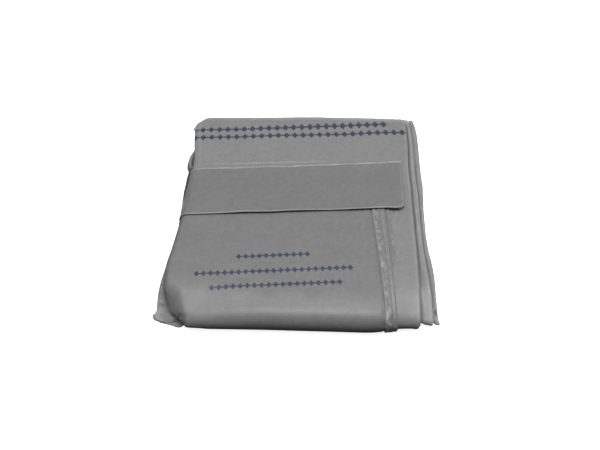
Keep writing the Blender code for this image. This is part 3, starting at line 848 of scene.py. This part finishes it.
flap = {
    "thick": 1.1 * mm,
    "seamY": 67.8 * mm,
    "seamSlant": 0.088,
    "freeY": -12.4 * mm,
    "freeSlant": 0.075,
    "length": 80 * mm,
    "right": 110.2 * mm,
    "rightTaper": 1.5 * mm,
    "corner": 7.0 * mm,
    "wrap": math.radians(112),
    "seamDepth": -0.45 * mm,
    "restDepth": -2.6 * mm,
    "lift": 0.7 * mm,                       # along the loose front edge
    "seamLines": (0.9 * mm, 3.6 * mm),      # from the rear edge
    "seamRise": 0.35 * mm,
    "stitchDeep": 0.25 * mm,
    "pucker": 0.2 * mm,
    "edgeRoll": 0.30 * mm,
}


def flapY(x, share):
    seam = flap["seamY"] + flap["seamSlant"] * x
    free = flap["freeY"] + flap["freeSlant"] * x + 0.5 * mm * softNoise(x, 0 * x, 34 * mm, 41)
    seam = seam + 0.5 * mm * softNoise(x, 0 * x, 26 * mm, 42)
    return seam + share * (free - seam)


def flapDepth(x, share):
    seam = flap["seamDepth"] - flap["thick"] / 2
    over = ease(0.14, 0.60, share)
    lift = flap["lift"] * ease(0.55, 1.0, share) * ease(-118 * mm, -70 * mm, x)
    lift = lift + 0.5 * mm * ease(0.7, 1.0, share) * softNoise(x, 0 * x, 30 * mm, 43)
    lift = lift + 0.6 * mm * ease(0.3, 0.9, share) * ease(60 * mm, 108 * mm, x)
    return seam + over * (flap["restDepth"] - seam) - lift


def seamRelief(fromEdge, along):  # two stitched ridges with puckers between them
    height = flap["seamRise"] * hump(fromEdge - 2.2 * mm, 1.0 * mm)
    for line in flap["seamLines"]:
        height = height - flap["stitchDeep"] * hump(fromEdge - line, 0.6 * mm)
    ripple = softNoise(along, fromEdge, 4.5 * mm, 44) * hump(fromEdge - 2.5 * mm, 7 * mm)
    return height + flap["pucker"] * ripple


def makeFlap(material):
    # rows, as shares from the seam to the loose edge, close together at both
    atSeam, between = rimmed(14, 0.0, 0.09, 0.006)[:-3], np.linspace(0.09, 0.88, 38)[:-1]
    share = np.concatenate([atSeam, between, rimmed(18, 0.88, 1.0, 0.006)[3:]])[:, None]
    fromSeam = share * flap["length"]
    toLoose = (1 - share) * flap["length"]
    inset = np.maximum(0, flap["corner"] - toLoose)
    rounding = flap["corner"] - np.sqrt(np.maximum(0, flap["corner"] ** 2 - inset**2))
    right = flap["right"] - flap["rightTaper"] * share - rounding
    wrapX = wrapCentre(wayAt(flapY(-125 * mm + 0 * share, share)))
    turnDepth = layerDepth(1) + packet["wrapRadius"]
    flatShare = np.concatenate([rimmed(3, 0.0, 0.03, 0.0025)[:-3], np.linspace(0.012, 1, 100)[:-1]])
    x = right + (wrapX - right) * flatShare
    depth = flapDepth(x, share)
    radius = turnDepth - flapDepth(wrapX, share)
    angle = -flap["wrap"] * rimmed(18, 0.0, 1.0, 0.035)[3:] + 0 * radius
    x = np.concatenate([x, wrapX + radius * np.sin(angle)], 1)
    depth = np.concatenate([depth, turnDepth - radius * np.cos(angle)], 1)
    along = lengthAlong(x, depth)
    edge = np.minimum(along, along[:, -1:] - along)
    edge = np.minimum(edge, np.minimum(share, 1 - share) * flap["length"])
    half = rimHalf(edge, flap["thick"] / 2)
    border = np.minimum(along, toLoose)
    roll = flap["edgeRoll"] * hump(border - 1.0 * mm, 0.9 * mm)
    upper = half + (roll + seamRelief(fromSeam, right - along)) * ease(0, 0.6 * mm, edge)
    (outX, outDepth), (inX, inDepth) = facesOf(x, depth, (upper, half))
    roundWrap = np.concatenate([0 * flatShare, np.linspace(0, flap["wrap"], angle.shape[1])])
    # painted highlight where the flap turns down at the left, along its loose edge and along the seam's ridge
    wearAndHighlight = 0.7 * hump(roundWrap - 0.95, 0.4) + 0.55 * hump(border - 0.6 * mm, 0.8 * mm)
    wearAndHighlight = wearAndHighlight + 0.6 * hump(fromSeam - 2.0 * mm, 1.4 * mm)
    wearAndHighlight = wearAndHighlight * (0.7 + 0.5 * softNoise(along, fromSeam, 7 * mm, 45))
    outer = place(outX, outDepth, wayAt(flapY(outX, share)))
    inner = place(inX, inDepth, wayAt(flapY(inX, share)))
    flat = np.stack([right - along, -fromSeam + 0 * along], -1)
    return sewCloth("pocketFlap", outer, inner, flat, np.clip(wearAndHighlight, 0, 1), material)


# stitching: one stitch is modelled, then laid again and again along the seams

stitch = {"long": 2.7 * mm, "every": 3.6 * mm, "wide": 0.62 * mm, "high": 0.42 * mm, "raised": 0.05 * mm}


def oneStitch():
    bpy.ops.object.select_all(action="DESELECT")
    bpy.ops.mesh.primitive_uv_sphere_add(segments=7, ring_count=6, radius=0.5, rotation=(0, math.pi / 2, 0))
    model = bpy.context.object
    bpy.ops.object.transform_apply(location=False, rotation=True, scale=True)
    points = np.array([tuple(v.co) for v in model.data.vertices])
    order = np.lexsort(np.round(points, 5).T)  # sorted, because a sphere's own order differs from run to run
    rank = np.argsort(order)
    points = points[order] * (stitch["long"], stitch["wide"], stitch["high"])
    faces = []
    for polygon in model.data.polygons:
        corners = [int(rank[i]) for i in polygon.vertices]
        first = corners.index(min(corners))
        faces.append(corners[first:] + corners[:first])
    bpy.data.objects.remove(model)
    return points, sorted(faces)


def laySeam(name, middles, aheads, ups, material):
    points, faces = oneStitch()
    allPoints, allFaces = [], []
    for middle, ahead, up in zip(middles, aheads, ups):
        ahead = ahead / np.linalg.norm(ahead)
        side = np.cross(up, ahead)
        side = side / np.linalg.norm(side)
        up = np.cross(ahead, side)
        start = sum(len(found) for found in allPoints)
        allPoints.append(middle + points[:, :1] * ahead + points[:, 1:2] * side + points[:, 2:] * up)
        allFaces += [tuple(i + start for i in face) for face in faces]
    mesh = bpy.data.meshes.new(name)
    mesh.from_pydata(np.concatenate(allPoints).tolist(), [], allFaces)
    mesh.shade_smooth()
    mesh.materials.append(material)
    piece = bpy.data.objects.new(name, mesh)
    bpy.context.scene.collection.objects.link(piece)
    return piece


def seamFrames(surface, t):  # middle, direction and up of each stitch on a seam given as a function
    step = 0.0006
    middle, ahead = surface(t, 0.0), surface(t + step, 0.0) - surface(t - step, 0.0)
    return middle, ahead, surface(t, 1 * mm) - middle


def hemSeam(line):
    def surface(way, lift):
        fromEdge = line * hemWide(way)
        relief = hemRelief(fromEdge, flatLength(way), hemWide(way))
        depth = pocket["depth"] - pocket["thick"] / 2 - relief - lift - stitch["raised"]
        return place(pocketRight(way) - fromEdge, depth, way)
    roundFold = math.pi * 13 * mm  # measured over the hem
    onTop = np.arange(wayAt(4 * mm), 1, stitch["every"] / topLong)
    onFold = np.arange(1, pocket["bendEnd"] - 0.1, stitch["every"] / roundFold)
    return seamFrames(surface, np.concatenate([onTop, onFold]))


def flapSeam(line):
    def surface(x, lift):
        share = line / flap["length"]
        relief = seamRelief(line + 0 * x, x)
        depth = flapDepth(x, share) - flap["thick"] / 2 - relief - lift - stitch["raised"]
        return place(x, depth, wayAt(flapY(x, share)))
    return seamFrames(surface, np.arange(-121 * mm, flap["right"] - 2 * mm, stitch["every"]))


bodyMaterial = wovenCloth("coatedPolyesterBody", clothLook["bodyGrey"], topPrint, banded=True)
pocketMaterial = wovenCloth("coatedPolyesterPocket", clothLook["pocketGrey"], pocketPrint)
flapMaterial = wovenCloth("coatedPolyesterFlap", clothLook["flapGrey"])
threadMaterial = sewingThread()
print("materials made")

bag = makeBody(bodyMaterial)
print("bag folded:", len(bag.data.polygons), "faces")
manual = makePocket(pocketMaterial)
print("pocket laid:", len(manual.data.polygons), "faces")
cover = makeFlap(flapMaterial)
print("flap laid:", len(cover.data.polygons), "faces")

hemFrames = [np.concatenate(found) for found in zip(*(hemSeam(line) for line in pocket["stitchLines"]))]
hemThread = laySeam("pocketStitching", *hemFrames, threadMaterial)
flapFrames = [np.concatenate(found) for found in zip(*(flapSeam(line) for line in flap["seamLines"]))]
flapThread = laySeam("flapStitching", *flapFrames, threadMaterial)
print("seams stitched")

for piece, node, slotName in ((bag, "bag_body", "bag_cloth"), (manual, "manual_pocket", "pocket_cloth"),
                              (cover, "pocket_flap", "flap_cloth")):
    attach(piece, "root")
    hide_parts(node)
for piece, slotName in ((hemThread, "pocket_cloth"), (flapThread, "flap_cloth")):
    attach(piece, "root")


# the studio: a pale floor, a large soft light overhead, a weak one at the right and an even surround

studio = {
    "floor": "#f0f0f0",
    "floorSize": 9,
    "floorGlow": 0.80,          # a light table, so shadows stay faint
    "above": 0.56,
    "below": 0.02,
    "lights": [
        {"name": "overheadSoftbox", "at": (0.0, -0.04, 1.25), "aim": (0, -0.05, 0), "size": (1.0, 0.6),
         "power": 18.5},
        {"name": "sideSoftbox", "at": (1.0, 0.0, 1.0), "aim": (0, 0, 0), "size": (0.8, 0.8), "power": 3.0},
    ],
}


def addSoftLight(light):
    data = bpy.data.lights.new(light["name"], "AREA")
    data.shape = "RECTANGLE"
    data.size, data.size_y = light["size"]
    data.energy = light["power"]
    lamp = bpy.data.objects.new(light["name"], data)
    lamp.location = light["at"]
    lamp.rotation_euler = (Vector(light["aim"]) - Vector(light["at"])).to_track_quat("-Z", "Y").to_euler()
    bpy.context.scene.collection.objects.link(lamp)


def addStudio():
    bpy.ops.object.select_all(action="DESELECT")
    bpy.ops.mesh.primitive_plane_add(size=studio["floorSize"], location=(0, 0, -0.1 * mm))
    floor = bpy.context.object
    floor.name = "studioFloor"
    made = bpy.data.materials.new("studioPaper")
    made.use_nodes = True
    tree = made.node_tree
    shader = tree.nodes["Principled BSDF"]
    shader.inputs["Base Color"].default_value = tone(studio["floor"])
    shader.inputs["Roughness"].default_value = 0.9
    shader.inputs["Emission Color"].default_value = (1, 1, 1, 1)
    shader.inputs["Emission Strength"].default_value = studio["floorGlow"]
    floor.data.materials.append(made)
    floor.visible_diffuse = False  # it throws no light up on to the cloth
    floor.visible_glossy = False
    world = bpy.data.worlds.new("studioSurround")
    world.use_nodes = True
    tree = world.node_tree  # an even surround that darkens below the table
    ray = addNode(tree, "ShaderNodeTexCoord").outputs["Generated"]
    split = addNode(tree, "ShaderNodeSeparateXYZ", {"Vector": ray})
    strength = addNode(tree, "ShaderNodeMapRange", {"Value": split.outputs["Z"]}, {
        "From Min": -0.05, "From Max": 0.6, "To Min": studio["below"], "To Max": studio["above"]})
    tree.nodes["Background"].inputs["Color"].default_value = (1, 1, 1, 1)
    tree.links.new(strength.outputs[0], tree.nodes["Background"].inputs["Strength"])
    bpy.context.scene.world = world
    for light in studio["lights"]:
        addSoftLight(light)
    bpy.context.scene.view_settings.view_transform = "Standard"


addStudio()
print("studio lit")
